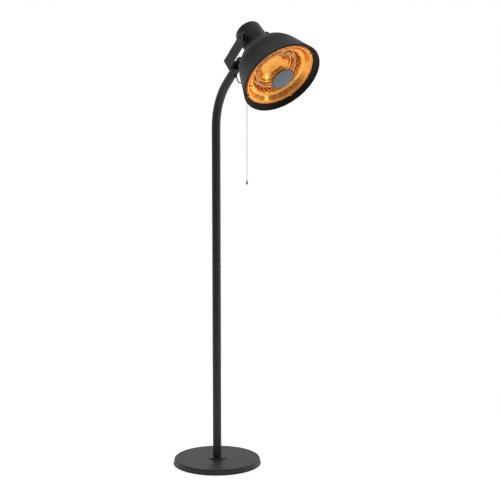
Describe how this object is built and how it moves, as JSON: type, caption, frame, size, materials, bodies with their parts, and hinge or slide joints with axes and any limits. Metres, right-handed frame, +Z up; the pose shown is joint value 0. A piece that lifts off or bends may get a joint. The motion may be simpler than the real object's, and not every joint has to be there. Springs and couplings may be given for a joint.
{
  "type": "outdoor heater",
  "caption": "Free-standing electric patio heater: round weighted base, pole with a bent neck, fork, and a tilting domed shade with a gold ring-lamp reflector, wire guard and pull cord.",
  "frame": {"origin": "on the floor, under the pole and at the middle of the base", "axes": "+Z up the pole, the head leans out towards -Y, symmetry plane X = 0"},
  "size_m": [0.3919, 0.7756, 1.9535],
  "materials": {
    "black_paint": "fine matt black powder coat",
    "cast_iron": "rough cast",
    "zinc_steel": "bright zinc plate",
    "rubber": "matt",
    "black_plastic": "fine moulded texture",
    "cable_jacket": "smooth cable jacket",
    "gold_reflector": "gold anodised, polished",
    "gold_wire": "drawn wire, gold tint",
    "quartz": "gold coated quartz",
    "filament": "coiled resistance wire",
    "ceramic": "unglazed ceramic",
    "cap_enamel": "satin blue-grey enamel",
    "grey_cord": "twisted cord"
  },
  "bodies": {
    "stand": {"base_cover": "black_paint", "base_plate": "zinc_steel", "base_weight": "cast_iron", "cord_gland": "black_plastic", "cord_gland_nut": "black_plastic", "coupling_sleeve": "zinc_steel", "flange_bolts": "zinc_steel", "fork": "black_paint", "fork_collar": "black_paint", "jumper_cable": "cable_jacket", "lower_tube": "black_paint", "neck_gland": "black_plastic", "neck_plug": "black_plastic", "plate_screws": "zinc_steel", "pole_flange": "black_paint", "rubber_feet": "rubber", "sleeve_screws": "zinc_steel", "supply_cable": "cable_jacket", "tip_switch": "black_plastic", "upper_tube": "black_paint"},
    "head": {"cap_backplate": "zinc_steel", "cap_screw": "zinc_steel", "centre_cap": "cap_enamel", "clip_screws": "zinc_steel", "cord_eyelet": "black_plastic", "drum_screws": "zinc_steel", "friction_washer_left": "zinc_steel", "friction_washer_right": "zinc_steel", "guard": "gold_wire", "guard_clips": "zinc_steel", "head_gland": "black_plastic", "lamp_clips": "zinc_steel", "lamp_ends": "ceramic", "lamp_filament": "filament", "lamp_leads": "ceramic", "lamp_tube": "quartz", "lip_ring": "black_paint", "pivot_boss_left": "black_paint", "pivot_boss_right": "black_paint", "pull_switch": "black_plastic", "rear_drum": "black_paint", "reflector": "gold_reflector", "reflector_posts": "zinc_steel", "reflector_screws": "zinc_steel", "shade": "black_paint", "switch_bracket": "zinc_steel", "switch_spring": "zinc_steel", "terminal_block": "ceramic", "terminal_bracket": "zinc_steel"},
    "left_knob": {"knob_left": "black_plastic", "knob_stud_left": "zinc_steel"},
    "right_knob": {"knob_right": "black_plastic", "knob_stud_right": "zinc_steel"},
    "switch_link": {"switch_link": "zinc_steel"},
    "pull_cord": {"cord_ring": "zinc_steel", "pull_cord": "grey_cord", "pull_bell": "black_plastic"}
  },
  "joints": [
    {"name": "head_tilt", "type": "hinge", "parent": "stand", "child": "head", "pos_m": [0, -0.28026, 1.88525], "axis": [1, 0, 0], "range_deg": [-30, 20], "deforming": ["jumper_cable"]},
    {"name": "left_knob_turn", "type": "hinge", "parent": "stand", "child": "left_knob", "pos_m": [-0.0684, -0.28026, 1.88525], "axis": [-1, 0, 0], "range_deg": [0, 270]},
    {"name": "right_knob_turn", "type": "hinge", "parent": "stand", "child": "right_knob", "pos_m": [0.0684, -0.28026, 1.88525], "axis": [1, 0, 0], "range_deg": [0, 270]},
    {"name": "switch_pull", "type": "slide", "parent": "head", "child": "switch_link", "axis": [0, 0.6225, -0.7826], "range_m": [0, 0.008], "stiffness_N_per_m": 800, "springref_m": -0.004, "deforming": ["switch_spring"]},
    {"name": "cord_swing", "type": "hinge", "parent": "switch_link", "child": "pull_cord", "pos_m": [0, -0.22433, 1.82458], "axis": [1, 0, 0], "range_deg": [-20, 30]}
  ],
  "couplings": [
    {"joint": "cord_swing", "follows": "head_tilt", "ratio": -1}
  ]
}
